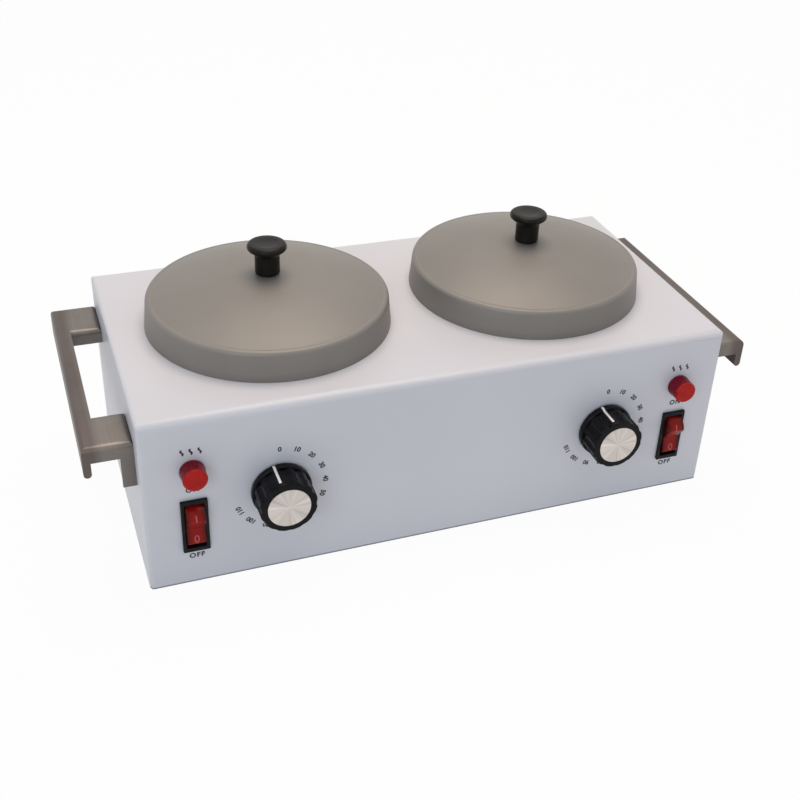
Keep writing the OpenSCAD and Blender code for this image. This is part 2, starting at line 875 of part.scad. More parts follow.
module cable_gland() {
    color("#1b1b1b") at_gland() difference() {
        union() {
            cylinder(r = gland_hex_r, h = gland_hex_t, $fn = hex_sides);
            cylinder(r = gland_dome_r, h = gland_out / 2);
            translate([0, 0, gland_out / 2]) cylinder(r1 = gland_dome_r, r2 = gland_tip_r, h = gland_out / 2);
            translate([0, 0, -gland_in]) cylinder(r = gland_thread_r, h = gland_in + eps);
        }
        translate([0, 0, -gland_in - eps]) cylinder(r = gland_bore_r, h = gland_in + gland_out + 2 * eps);
    }
}

module gland_nut() {
    color("#1b1b1b") at_gland() translate([0, 0, -sheet_t - gland_nut_t])
        hex_nut(gland_nut_r, gland_thread_r, gland_nut_t);
}

// Terminal block on the base plate, in front between the wells
module at_block_screws() {
    for (x = [-1, 1]) translate([x * block_w / (2 * block_ways), block_y, 0]) children();
}

module block_screws() {
    color("silver") at_block_screws() translate([0, 0, plate_z]) mirror([0, 0, 1]) {
        cylinder(r = m3_head_r, h = m3_head_h);
        translate([0, 0, -plate_t - block_bore]) cylinder(r = m3_r, h = plate_t + block_bore + eps);
    }
}

module terminal_block() {
    way_pitch = block_w / block_ways;
    color("ivory") difference() {
        translate([-block_w / 2, block_y - block_d / 2, edge_z]) cube([block_w, block_d, block_h]);
        for (i = [0 : block_ways - 1]) translate([(i + 0.5) * way_pitch - block_w / 2, block_y, 0]) {
            translate([0, 0, edge_z + block_h / 2]) rotate([90, 0, 0])
                cylinder(r = way_r, h = 2 * block_d, center = true);
            translate([0, 0, edge_z + block_h / 2]) cylinder(r = way_r, h = block_h);
        }
        at_block_screws() translate([0, 0, plate_z]) cylinder(r = m3_r, h = plate_t + block_bore + loose_gap);
    }
}

module at_earth() {
    translate([0, foot_y - lip_w, 0]) children();
}

module earth_screw() {
    color("gold") at_earth() {
        translate([0, 0, plate_z]) mirror([0, 0, 1]) pan_screw(plate_t + 2 * m4_nut_h);
        translate([0, 0, edge_z]) cylinder(r = m4_nut_r, h = m4_nut_h, $fn = hex_sides);
    }
}

// Sleeved wires from the terminal block to the switches and thermostats on each side
module wiring() {
    block_front = block_y - block_d / 2;
    way_z = edge_z + block_h / 2;
    switch_back = front_y + switch_deep + blade_l;
    color("snow") for (side = [-1, 1]) {
        bent_line([[side * block_w / 3, block_front - 0.5, way_z], [side * block_w / 3, -66, way_z],
            [side * 112, -66, way_z], [side * switch_x, switch_back + 10, 20],
            [side * switch_x, switch_back + 1, edge_z + switch_z - switch_h / 3]], wire_r);
        bent_line([[side * block_w / 3, block_front - 0.5, way_z + 3.2], [side * block_w / 3, -70, way_z + 6],
            [side * (dial_x - stat_w / 4), -70, way_z + 6],
            [side * (dial_x - stat_w / 4), -70, edge_z + dial_z - stat_h / 2 - blade_l - 1]], wire_r);
    }
}

housing();
base_plate();
rubber_feet();
base_screws();
base_nuts();
well(-1);  // left_well
well(1);  // right_well
heater_band(-1);  // left_heater_band
heater_band(1);  // right_heater_band
band_screws();
well_posts();
post_screws();
thermal_cutouts();
pot(-1);  // left_pot
pot(1);  // right_pot
lid(-1);  // left_lid
lid(1);  // right_lid
lid_knob(-1);  // left_lid_knob
lid_knob(1);  // right_lid_knob
lid_screw(-1);  // left_lid_screw
lid_screw(1);  // right_lid_screw
dial_knob(-1);  // left_dial_knob
dial_knob(1);  // right_dial_knob
dial_cap(-1);  // left_dial_cap
dial_cap(1);  // right_dial_cap
thermostat(-1);  // left_thermostat
thermostat(1);  // right_thermostat
thermostat_shaft(-1);  // left_thermostat_shaft
thermostat_shaft(1);  // right_thermostat_shaft
thermostat_nuts();
sensor(-1);  // left_sensor
sensor(1);  // right_sensor
switch_body(-1);  // left_switch_body
switch_body(1);  // right_switch_body
rocker(-1);  // left_rocker
rocker(1);  // right_rocker
lamp_lens(-1);  // left_lamp_lens
lamp_lens(1);  // right_lamp_lens
lamp_body(-1);  // left_lamp_body
lamp_body(1);  // right_lamp_body
neon_lamp(-1);  // left_neon_lamp
neon_lamp(1);  // right_neon_lamp
lamp_nuts();
bracket(-1);  // left_bracket
bracket(1);  // right_bracket
bracket_screws();
bracket_nuts();
cable_gland();
gland_nut();
terminal_block();
block_screws();
wiring();
earth_screw();
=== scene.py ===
"""Looks of the double wax warmer: finishes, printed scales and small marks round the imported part."""

import math

import bmesh
import bpy
from mathutils import Matrix, Quaternion, Vector


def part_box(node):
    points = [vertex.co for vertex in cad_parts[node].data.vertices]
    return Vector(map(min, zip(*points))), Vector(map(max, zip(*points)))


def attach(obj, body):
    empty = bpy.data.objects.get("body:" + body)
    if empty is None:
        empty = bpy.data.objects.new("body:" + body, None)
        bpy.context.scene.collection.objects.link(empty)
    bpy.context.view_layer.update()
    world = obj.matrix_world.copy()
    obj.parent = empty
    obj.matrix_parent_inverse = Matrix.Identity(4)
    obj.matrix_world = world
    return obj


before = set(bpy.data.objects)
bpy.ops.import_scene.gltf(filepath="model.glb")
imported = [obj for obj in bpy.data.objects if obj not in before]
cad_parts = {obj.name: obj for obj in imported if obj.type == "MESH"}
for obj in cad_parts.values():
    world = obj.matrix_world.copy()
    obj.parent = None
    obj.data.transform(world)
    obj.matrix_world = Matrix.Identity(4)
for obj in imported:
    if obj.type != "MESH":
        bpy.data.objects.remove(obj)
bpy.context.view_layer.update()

MM = 0.001
SIDES = ("left", "right")


def middle(node):
    low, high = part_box(node)
    return (low + high) / 2


# Places read from the frame
PANEL_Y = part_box("housing")[0].y
EDGE_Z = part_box("housing")[0].z
RAIL_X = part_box("right_bracket")[1].x
LENS_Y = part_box("left_lamp_lens")[0].y


# Materials
class Nodes:
    """A material's node tree, with short calls for the nodes used here."""

    def __init__(self, name):
        self.material = bpy.data.materials.new(name)
        self.material.use_nodes = True
        self.tree = self.material.node_tree
        self.shader = self.tree.nodes["Principled BSDF"]
        self.place = self.tree.nodes.new("ShaderNodeTexCoord").outputs["Object"]

    def add(self, kind, **settings):
        node = self.tree.nodes.new(kind)
        for key, value in settings.items():
            setattr(node, key, value)
        return node

    def link(self, source, target):
        self.tree.links.new(source, target)

    def set(self, **values):
        for key, value in values.items():
            self.shader.inputs[key.replace("_", " ")].default_value = value

    def math_node(self, operation, source, value=0.0):
        node = self.add("ShaderNodeMath", operation=operation)
        node.inputs[1].default_value = value
        self.link(source, node.inputs[0])
        return node.outputs["Value"]

    def vector_node(self, operation, source, value=(0, 0, 0)):
        node = self.add("ShaderNodeVectorMath", operation=operation)
        node.inputs[1].default_value = value
        self.link(source, node.inputs[0])
        return node.outputs["Value" if operation == "LENGTH" else "Vector"]

    def remap(self, source, old=(0, 1), new=(0, 1)):
        """Source brought from one range to another, and held inside it."""
        node = self.add("ShaderNodeMapRange")
        node.inputs["From Min"].default_value, node.inputs["From Max"].default_value = old
        node.inputs["To Min"].default_value, node.inputs["To Max"].default_value = new
        self.link(source, node.inputs["Value"])
        return node.outputs["Result"]

    def axis(self, name):
        parts = self.add("ShaderNodeSeparateXYZ")
        self.link(self.place, parts.inputs["Vector"])
        return parts.outputs[name]

    def along(self, axis, start, end):
        """0..1 from start to end on one axis."""
        return self.remap(self.axis(axis), (start, end))

    def off(self, axis, centre, start, end):
        """0..1 as the distance from centre along one axis goes from start to end."""
        shifted = self.math_node("SUBTRACT", self.axis(axis), centre)
        return self.remap(self.math_node("ABSOLUTE", shifted), (start, end))

    def stretched(self, scale):
        """Object coordinates multiplied along each axis."""
        mapping = self.add("ShaderNodeMapping")
        mapping.inputs["Scale"].default_value = scale
        self.link(self.place, mapping.inputs["Vector"])
        return mapping.outputs["Vector"]

    def noise(self, scale, detail=3.0, rough=0.5, vector=None):
        node = self.add("ShaderNodeTexNoise")
        node.inputs["Scale"].default_value = scale
        node.inputs["Detail"].default_value = detail
        node.inputs["Roughness"].default_value = rough
        self.link(vector or self.place, node.inputs["Vector"])
        return node.outputs["Fac"]

    def line_noise(self, source, detail):
        """Noise that changes with one value."""
        node = self.add("ShaderNodeTexNoise", noise_dimensions="1D")
        node.inputs["Scale"].default_value = 1.0
        node.inputs["Detail"].default_value = detail
        self.link(source, node.inputs["W"])
        return node.outputs["Fac"]

    def cells(self, scale):
        node = self.add("ShaderNodeTexVoronoi")
        node.inputs["Scale"].default_value = scale
        self.link(self.place, node.inputs["Vector"])
        return node.outputs["Distance"]

    def rings(self, centre, spacing, across=(0, 1)):
        """Fine turning rings about an axis through centre; across names the two other axes."""
        shifted = self.vector_node("SUBTRACT", self.place, centre)
        kept = [1 if axis in across else 0 for axis in range(3)]
        radius = self.vector_node("LENGTH", self.vector_node("MULTIPLY", shifted, kept))
        return self.line_noise(self.math_node("MULTIPLY", radius, 1 / spacing), 4.0)

    def fan(self, centre, density):
        """Noise that changes only with the angle about a front-to-back axis through centre."""
        turned = self.add("ShaderNodeVectorRotate", rotation_type="X_AXIS")
        turned.inputs["Angle"].default_value = -math.pi / 2
        self.link(self.vector_node("SUBTRACT", self.place, centre), turned.inputs["Vector"])
        angle = self.add("ShaderNodeTexGradient", gradient_type="RADIAL")
        self.link(turned.outputs["Vector"], angle.inputs["Vector"])
        return self.line_noise(self.math_node("MULTIPLY", angle.outputs["Fac"], density), 5.0)

    def ramp(self, source, stops):
        node = self.add("ShaderNodeValToRGB")
        elements = node.color_ramp.elements
        for index, (position, colour) in enumerate(stops[:2]):
            elements[index].position, elements[index].color = position, (*colour, 1)
        for position, colour in stops[2:]:
            elements.new(position).color = (*colour, 1)
        self.link(source, node.inputs["Fac"])
        return node.outputs["Color"]

    def blotches(self, source, dark, light, low=0.35, high=0.65):
        """From the dark to the light colour as the source goes from low to high."""
        return self.ramp(source, [(low, dark), (high, light)])

    def dim(self, colour, amount, shade):
        """Colour multiplied by a shade, by an amount of 0..1."""
        node = self.add("ShaderNodeMix", data_type="RGBA", blend_type="MULTIPLY")
        self.link(amount, node.inputs["Factor"])
        self.link(colour, node.inputs["A"])
        node.inputs["B"].default_value = (*shade, 1)
        return node.outputs["Result"]

    def colour(self, source):
        self.link(source, self.shader.inputs["Base Color"])

    def roughness(self, source, low, high):
        self.link(self.remap(source, new=(low, high)), self.shader.inputs["Roughness"])

    def bump(self, source, height, strength=1.0):
        node = self.add("ShaderNodeBump")
        node.inputs["Distance"].default_value = height
        node.inputs["Strength"].default_value = strength
        self.link(source, node.inputs["Height"])
        self.link(node.outputs["Normal"], self.shader.inputs["Normal"])


# Height over the housing's lower edge at which its painted shade begins, and at which it is full
UNDER_SHADE_FROM = 1.1 * MM
UNDER_SHADE_FULL = 0.5 * MM
# Distance in from the outer face of a bracket's rail at which its painted shade begins, and is full
RAIL_SHADE_FROM = 9.8 * MM
RAIL_SHADE_FULL = 5.3 * MM
# Distance from a rocker's middle line at which the painted shade on its edges begins, and is full
ROCKER_SHADE_FROM = 2.2 * MM
ROCKER_SHADE_FULL = 4.4 * MM
# Depth of the painted bright face of a lamp lens, with the painted shade on the sides behind it
LENS_DEPTH = 4 * MM


def powder_coat():
    """White powder coat: fine orange peel, faint clouds, and painted shade along the edge where it
    turns under.
    """
    n = Nodes("white_powder_coat")
    coat = n.blotches(n.noise(9, 4), (0.705, 0.700, 0.735), (0.74, 0.734, 0.765))
    # Painted shade: the coat is darkened along its lower edge, where it turns under.
    turned_under_shade = n.off("Z", EDGE_Z, UNDER_SHADE_FROM, UNDER_SHADE_FULL)
    n.colour(n.dim(coat, turned_under_shade, (0.30, 0.30, 0.34)))
    n.roughness(n.noise(60), 0.34, 0.44)
    n.bump(n.noise(900, 2), 0.04 * MM, 0.35)
    n.set(Specular_IOR_Level=0.45)
    return n.material


def lid_metal(name, centre):
    """Satin grey spun aluminium with faint turning rings."""
    n = Nodes(name)
    n.colour(n.blotches(n.noise(14, 5), (0.235, 0.216, 0.193), (0.265, 0.246, 0.222)))
    n.roughness(n.rings(centre, 1.1 * MM), 0.42, 0.52)
    n.bump(n.rings(centre, 0.6 * MM), 0.03 * MM, 0.25)
    n.set(Metallic=0.2, Specular_IOR_Level=0.32)
    return n.material


def spun_aluminium(name, centre, bright=0.78):
    """Bright spun aluminium, with rings that catch the light."""
    n = Nodes(name)
    dull = (bright * 0.9, bright * 0.88, bright * 0.85)
    n.colour(n.blotches(n.rings(centre, 1.3 * MM), dull, (bright,) * 3))
    n.roughness(n.rings(centre, 0.7 * MM), 0.24, 0.36)
    n.bump(n.rings(centre, 0.5 * MM), 0.03 * MM, 0.4)
    n.set(Metallic=1.0)
    return n.material


def rolled_steel():
    """Bare rolled steel: fine grain along the sheet, smudges, and painted shade on the rail."""
    n = Nodes("rolled_steel")
    grain = n.noise(1, 5, 0.6, n.stretched((900, 40, 900)))
    streaks = n.noise(1, 3, 0.6, n.stretched((500, 14, 500)))
    plate = n.blotches(n.noise(26, 5), (0.178, 0.160, 0.142), (0.228, 0.206, 0.184))
    # Painted shade: the steel is darkened towards the outer face of the rail.
    rail_shade = n.off("X", 0, RAIL_X - RAIL_SHADE_FROM, RAIL_X - RAIL_SHADE_FULL)
    n.colour(n.dim(n.dim(plate, streaks, (0.80, 0.76, 0.78)), rail_shade, (0.64, 0.58, 0.58)))
    n.roughness(grain, 0.34, 0.52)
    n.bump(grain, 0.02 * MM, 0.35)
    n.set(Metallic=0.7)
    return n.material


def zinc_sheet():
    """Galvanised sheet with its large faint spangle."""
    n = Nodes("zinc_sheet")
    n.colour(n.blotches(n.cells(90), (0.44, 0.45, 0.46), (0.56, 0.57, 0.58), 0.1, 0.7))
    n.roughness(n.noise(200), 0.35, 0.5)
    n.set(Metallic=0.9)
    return n.material


def plated(name, dark, light):
    """Small plated or brass hardware with fine tool marks."""
    n = Nodes(name)
    n.colour(n.blotches(n.noise(300), dark, light))
    n.roughness(n.noise(1500, 2), 0.25, 0.42)
    n.bump(n.noise(2200, 2), 0.02 * MM, 0.3)
    n.set(Metallic=1.0)
    return n.material


def moulded(name, dark, light, rough=(0.25, 0.35), grain=1600, height=0.02 * MM, **sockets):
    """Moulded plastic or rubber with a fine surface grain."""
    n = Nodes(name)
    n.colour(n.blotches(n.noise(120), dark, light))
    n.roughness(n.noise(420), *rough)
    n.bump(n.noise(grain, 2), height, 0.3)
    n.set(**sockets)
    return n.material


def dial_cap_metal(name, centre):
    """Warm silver cap, brushed outwards, with painted highlights in its colour that fan from its
    middle.
    """
    n = Nodes(name)
    # Painted highlights: the colour brightens in streaks by angle about the cap's middle.
    n.colour(n.blotches(n.fan(centre, 14), (0.50, 0.455, 0.42), (0.80, 0.735, 0.68), 0.25, 0.8))
    n.roughness(n.fan(centre, 60), 0.32, 0.5)
    n.bump(n.rings(centre, 0.5 * MM, (0, 2)), 0.02 * MM, 0.3)
    n.set(Metallic=0.75, Specular_IOR_Level=0.3)
    return n.material


def rocker_red(name, centre):
    """Deep red rocker, with painted shade towards its two edges."""
    n = Nodes(name)
    red = n.blotches(n.noise(120), (0.27, 0.005, 0.004), (0.35, 0.009, 0.006))
    # Painted shade: the red is darkened towards the rocker's two edges.
    rocker_edge_shade = n.off("X", centre.x, ROCKER_SHADE_FROM, ROCKER_SHADE_FULL)
    n.colour(n.dim(red, rocker_edge_shade, (0.30, 0.30, 0.30)))
    n.roughness(n.noise(420), 0.18, 0.26)
    n.bump(n.noise(1600, 2), 0.02 * MM, 0.3)
    n.set(Specular_IOR_Level=0.16)
    return n.material


def lens_red():
    """Clear red lens: painted shade on its crimson sides and a painted highlight on its face, with
    faint facets behind it.
    """
    n = Nodes("lens_red")
    face, shaded_shoulder, shaded_wall = (0.52, 0.008, 0.005), (0.42, 0.008, 0.007), (0.15, 0.003, 0.018)
    # Painted light: bright red on the lens face, shaded darker towards the sides behind it.
    depth = n.along("Y", LENS_Y, LENS_Y + LENS_DEPTH)
    red = n.ramp(depth, [(0.0, face), (0.22, shaded_shoulder), (0.62, shaded_wall)])
    facets = n.remap(n.cells(420), new=(0.0, 0.6))
    n.colour(n.dim(red, facets, (0.45, 0.30, 0.30)))
    n.roughness(n.noise(300), 0.06, 0.14)
    n.set(Specular_IOR_Level=0.15, Emission_Color=(1.0, 0.03, 0.01, 1), Emission_Strength=0.02)
    return n.material


def printed_ink():
    """Screen-printed black ink, a little uneven in cover."""
    n = Nodes("printed_ink")
    n.colour(n.blotches(n.noise(700), (0.008, 0.009, 0.014), (0.022, 0.023, 0.030)))
    n.roughness(n.noise(500), 0.45, 0.6)
    return n.material


MATERIALS = {
    "enamel": powder_coat(),
    "steel": rolled_steel(),
    "zinc": zinc_sheet(),
    "plated": plated("zinc_plate", (0.52, 0.52, 0.52), (0.66, 0.66, 0.65)),
    "brass": plated("turned_brass", (0.55, 0.40, 0.18), (0.72, 0.55, 0.27)),
    "copper": plated("drawn_copper", (0.50, 0.26, 0.16), (0.68, 0.38, 0.25)),
    "phenolic": moulded("phenolic_black", (0.006, 0.005, 0.004), (0.014, 0.012, 0.009),
                        (0.26, 0.4), Specular_IOR_Level=0.13),
    "dial_black": moulded("gloss_black", (0.003, 0.003, 0.004), (0.008, 0.008, 0.010),
                          (0.14, 0.24), Specular_IOR_Level=0.11),
    "matt_black": moulded("switch_black", (0.006, 0.006, 0.007), (0.012, 0.012, 0.013),
                          (0.32, 0.45), 2400, Specular_IOR_Level=0.13),
    "rubber": moulded("foot_rubber", (0.010, 0.010, 0.010), (0.022, 0.021, 0.020),
                      (0.6, 0.8), 1100, 0.06 * MM),
    "lens": lens_red(),
    "lamp_grey": moulded("lamp_grey", (0.22, 0.22, 0.23), (0.30, 0.30, 0.31), (0.35, 0.5)),
    "neon": moulded("neon_glass", (0.85, 0.45, 0.25), (0.95, 0.60, 0.35), (0.03, 0.08),
                    Transmission_Weight=0.8),
    "ivory": moulded("ivory_nylon", (0.66, 0.62, 0.52), (0.74, 0.70, 0.60), (0.4, 0.5)),
    "sleeve": moulded("glass_sleeve", (0.60, 0.60, 0.57), (0.72, 0.72, 0.69),
                      (0.6, 0.8), 3000, 0.05 * MM),
    "band": plated("heat_tinted_steel", (0.28, 0.23, 0.18), (0.42, 0.37, 0.31)),
    "ink": printed_ink(),
    "mark_white": moulded("mark_white", (0.72, 0.70, 0.67), (0.82, 0.80, 0.77), (0.4, 0.5)),
    "mark_pink": moulded("mark_pink", (0.50, 0.10, 0.09), (0.58, 0.14, 0.12), (0.3, 0.4),
                         Specular_IOR_Level=0.2),
}
for side in SIDES:
    MATERIALS.update({
        side + "_lid": lid_metal(side + "_lid_metal", middle(side + "_lid")),
        side + "_pot": spun_aluminium(side + "_pot_metal", middle(side + "_pot")),
        side + "_well": spun_aluminium(side + "_well_metal", middle(side + "_well"), 0.62),
        side + "_cap": dial_cap_metal(side + "_cap_metal", middle(side + "_dial_cap")),
        side + "_rocker": rocker_red(side + "_rocker_red", middle(side + "_rocker")),
    })

# Finish of every CAD node: its material, and the width in millimetres of its softened edges
FINISHES = {
    "housing": ("enamel", 0.5),
    "base_plate": ("zinc", 0.2),
    "rubber_feet": ("rubber", 0.5),
    "base_screws": ("plated", 0.3),
    "base_nuts": ("plated", 0.2),
    "band_screws": ("plated", 0.2),
    "well_posts": ("plated", 0.2),
    "post_screws": ("plated", 0.3),
    "thermal_cutouts": ("matt_black", 0.3),
    "thermostat_nuts": ("brass", 0.2),
    "lamp_nuts": ("plated", 0.2),
    "bracket_screws": ("plated", 0.5),
    "bracket_nuts": ("plated", 0.2),
    "cable_gland": ("matt_black", 0.5),
    "gland_nut": ("matt_black", 0.3),
    "terminal_block": ("ivory", 0.4),
    "block_screws": ("plated", 0.2),
    "wiring": ("sleeve", 0),
    "earth_screw": ("brass", 0.2),
}
for side in SIDES:
    FINISHES.update({
        side + "_well": (side + "_well", 0.2),
        side + "_pot": (side + "_pot", 0.2),
        side + "_heater_band": ("band", 0.1),
        side + "_lid": (side + "_lid", 0.15),
        side + "_lid_knob": ("phenolic", 0.3),
        side + "_lid_screw": ("plated", 0.2),
        side + "_dial_knob": ("dial_black", 0.5),
        side + "_dial_cap": (side + "_cap", 0.1),
        side + "_thermostat": ("band", 0.3),
        side + "_thermostat_shaft": ("plated", 0.2),
        side + "_sensor": ("copper", 0),
        side + "_switch_body": ("matt_black", 0.35),
        side + "_rocker": (side + "_rocker", 0.4),
        side + "_lamp_lens": ("lens", 0.2),
        side + "_lamp_body": ("lamp_grey", 0.2),
        side + "_neon_lamp": ("neon", 0),
        side + "_bracket": ("steel", 0.25),
    })

WELD_GAP = 0.001 * MM
EDGE_STEPS = 3
EDGE_ANGLE = math.radians(32)


def finish_node(node, material, edge):
    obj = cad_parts[node]
    obj.data.materials.clear()
    obj.data.materials.append(MATERIALS[material])
    if edge:
        weld = obj.modifiers.new("weld", "WELD")
        weld.merge_threshold = WELD_GAP
        bevel = obj.modifiers.new("edge", "BEVEL")
        bevel.width = edge * MM
        bevel.segments = EDGE_STEPS
        bevel.limit_method = "ANGLE"
        bevel.angle_limit = EDGE_ANGLE
        bevel.harden_normals = True


for node, (material, edge) in FINISHES.items():
    finish_node(node, material, edge)


# Pieces
def piece(name, mesh, body, material):
    """A new piece in the frame's coordinates that rides on a body."""
    obj = bpy.data.objects.new(name, mesh)
    bpy.context.scene.collection.objects.link(obj)
    mesh.materials.clear()
    mesh.materials.append(MATERIALS[material])
    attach(obj, body)
    return obj


def built(name, points, faces):
    mesh = bpy.data.meshes.new(name)
    mesh.from_pydata(points, [], faces)
    return mesh


def joined(meshes):
    """One mesh out of several."""
    whole = bmesh.new()
    for mesh in meshes:
        whole.from_mesh(mesh)
    result = bpy.data.meshes.new("joined")
    whole.to_mesh(result)
    whole.free()
    return result


def on_panel(x, z):
    """Takes a flat XY drawing to the front panel."""
    return Matrix.Translation((x, PANEL_Y, z)) @ Matrix.Rotation(math.pi / 2, 4, "X")


# Half thickness of printed marks
INK_T = 0.04 * MM
# Font size for a letter height of 1, and how much its strokes are thickened
FONT_SIZE = 1.38
FONT_BOLD = 0.055


def lettering(text, size, place, turn=0.0, spread=1.0):
    """Flat printed characters on the front panel, centred on (x, z) and turned clockwise."""
    curve = bpy.data.curves.new("print", "FONT")
    curve.body = text
    curve.size = size * FONT_SIZE
    curve.align_x, curve.align_y = "CENTER", "CENTER"
    curve.extrude = INK_T
    curve.offset = FONT_BOLD * size
    curve.space_character = spread
    obj = bpy.data.objects.new("print", curve)
    bpy.context.scene.collection.objects.link(obj)
    bpy.context.view_layer.update()
    mesh = bpy.data.meshes.new_from_object(obj)
    bpy.data.objects.remove(obj)
    mesh.transform(on_panel(*place) @ Matrix.Rotation(-turn, 4, "Z"))
    return mesh


def ribbon(points, width, closed=False):
    """Flat printed line of even width through XY points, as a thin solid."""
    count = len(points)
    corners = []
    for i, point in enumerate(points):
        before = points[(i - 1) % count] if closed or i else point
        after = points[(i + 1) % count] if closed or i < count - 1 else point
        along = (Vector(after) - Vector(before)).normalized() * width / 2
        side = Vector((-along.y, along.x))
        for edge in (Vector(point) + side, Vector(point) - side):
            corners += [(edge.x, edge.y, INK_T), (edge.x, edge.y, -INK_T)]
    faces = []
    for i in range(count if closed else count - 1):
        a, b = 4 * i, 4 * ((i + 1) % count)
        faces += [(a, a + 2, b + 2, b), (a + 3, a + 1, b + 1, b + 3),
                  (a + 1, a, b, b + 1), (a + 2, a + 3, b + 3, b + 2)]
    if not closed:
        end = 4 * (count - 1)
        faces += [(0, 1, 3, 2), (end, end + 2, end + 3, end + 1)]
    return built("ribbon", corners, faces)


# Dial scale: radius of its ring, angle from number to number, and the numbers
SCALE_R = 22.65 * MM
SCALE_STEP = math.radians(22.2)
SCALE_MARKS = [str(10 * i) for i in range(12)]
NUMBER_H = 2.6 * MM


def dial_scale(side):
    centre = middle(side + "_dial_cap")
    numbers = []
    for i, mark in enumerate(SCALE_MARKS):
        turn = i * SCALE_STEP
        place = (centre.x + SCALE_R * math.sin(turn), centre.z + SCALE_R * math.cos(turn))
        numbers.append(lettering(mark, NUMBER_H, place, turn))
    piece(side + "_dial_scale", joined(numbers), "chassis", "ink")


# Switch words: height, letter spacing, and distance over and under the bezel
WORD_H = 2.8 * MM
WORD_SPREAD = 1.2
ON_OVER = 5.8 * MM
OFF_UNDER = 3.9 * MM


def switch_words(side):
    x = middle(side + "_switch_body").x
    low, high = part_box(side + "_switch_body")
    words = [lettering("ON", WORD_H, (x, high.z + ON_OVER), spread=WORD_SPREAD),
             lettering("OFF", WORD_H, (x, low.z - OFF_UNDER), spread=WORD_SPREAD)]
    piece(side + "_switch_words", joined(words), "chassis", "ink")


# Heat waves: distance over the middle of the lamp, height, spacing, swing and line width
WAVES_OVER = 10.6 * MM
WAVE_H = 3.1 * MM
WAVE_PITCH = 4.2 * MM
WAVE_SWING = 0.55 * MM
WAVE_LINE = 0.9 * MM
WAVE_STEPS = 24


def heat_waves(side):
    """Three small waves over the pilot lamp."""
    lens = middle(side + "_lamp_lens")
    waves = []
    for i in (-1, 0, 1):
        points = [(i * WAVE_PITCH + WAVE_SWING * math.sin(2 * math.pi * k / WAVE_STEPS),
                   WAVE_H * (k / WAVE_STEPS - 0.5)) for k in range(WAVE_STEPS + 1)]
        wave = ribbon(points, WAVE_LINE)
        wave.transform(on_panel(lens.x, lens.z + WAVES_OVER))
        waves.append(wave)
    piece(side + "_heat_waves", joined(waves), "chassis", "ink")


# Rocker: its pivot behind the panel, and its two half faces, which meet in front of the pivot
PIVOT_IN = 2 * MM
FACE_OUT = 4.15 * MM
ROCK = math.radians(11)
# Its upper hump, and the bar on it as angles from straight out
HUMP_R = 7 * MM
HUMP_OUT = 0.5 * MM
HUMP_UP = 5.2 * MM
BAR_W = 0.75 * MM
BAR_FROM = math.radians(20)
BAR_TO = math.radians(48)
BAR_STEPS = 10
# The oval on the lower half face
OVAL_DOWN = 5.8 * MM
OVAL_X = 1.0 * MM
OVAL_Z = 1.75 * MM
OVAL_LINE = 0.62 * MM
OVAL_STEPS = 36


def on_rocker(side, up):
    """Takes a flat XY drawing to a rocker at rest, a distance up or down from its middle line."""
    body = middle(side + "_switch_body")
    half = math.copysign(2 * ROCK, up) if up else 0
    pivot = Matrix.Translation((body.x, PANEL_Y + PIVOT_IN, body.z))
    tipped = pivot @ Matrix.Rotation(math.pi / 2 + ROCK, 4, "X")
    face = tipped @ Matrix.Translation((0, 0, FACE_OUT)) @ Matrix.Rotation(half, 4, "X")
    return face @ Matrix.Translation((0, up, 0))


def hump_bar():
    """A thin bar bent over the hump, round the X axis."""
    corners = []
    for k in range(BAR_STEPS + 1):
        angle = BAR_FROM + (BAR_TO - BAR_FROM) * k / BAR_STEPS
        for x in (-BAR_W / 2, BAR_W / 2):
            for radius in (HUMP_R + INK_T, HUMP_R - INK_T):
                corners.append((x, radius * math.sin(angle), radius * math.cos(angle)))
    end = 4 * BAR_STEPS
    faces = [(0, 2, 3, 1), (end, end + 1, end + 3, end + 2)]
    for a in range(0, end, 4):
        faces += [(a, a + 4, a + 6, a + 2), (a + 1, a + 3, a + 7, a + 5),
                  (a, a + 1, a + 5, a + 4), (a + 2, a + 6, a + 7, a + 3)]
    return built("bar", corners, faces)


def rocker_marks(side):
    """A bar over the upper hump and an oval on the lower half face."""
    bar = hump_bar()
    bar.transform(on_rocker(side, 0) @ Matrix.Translation((0, HUMP_UP, HUMP_OUT - FACE_OUT)))
    turns = [2 * math.pi * k / OVAL_STEPS for k in range(OVAL_STEPS)]
    oval = ribbon([(OVAL_X * math.cos(turn), OVAL_Z * math.sin(turn)) for turn in turns],
                  OVAL_LINE, closed=True)
    oval.transform(on_rocker(side, -OVAL_DOWN))
    piece(side + "_rocker_marks", joined([bar, oval]), side + "_rocker", "mark_pink")


POINTER_TURN = math.radians(-14)
POINTER_W = 1.25 * MM
POINTER_T = 0.06 * MM
POINTER_STEPS = 4
# Radius, and distance out from the knob's back, along the line over skirt and grip, in millimetres
POINTER_PATH = [(15.12, 0.5), (15.12, 2.2), (14.9, 2.8), (14.55, 3.1), (14.33, 3.5), (14.32, 13.6)]


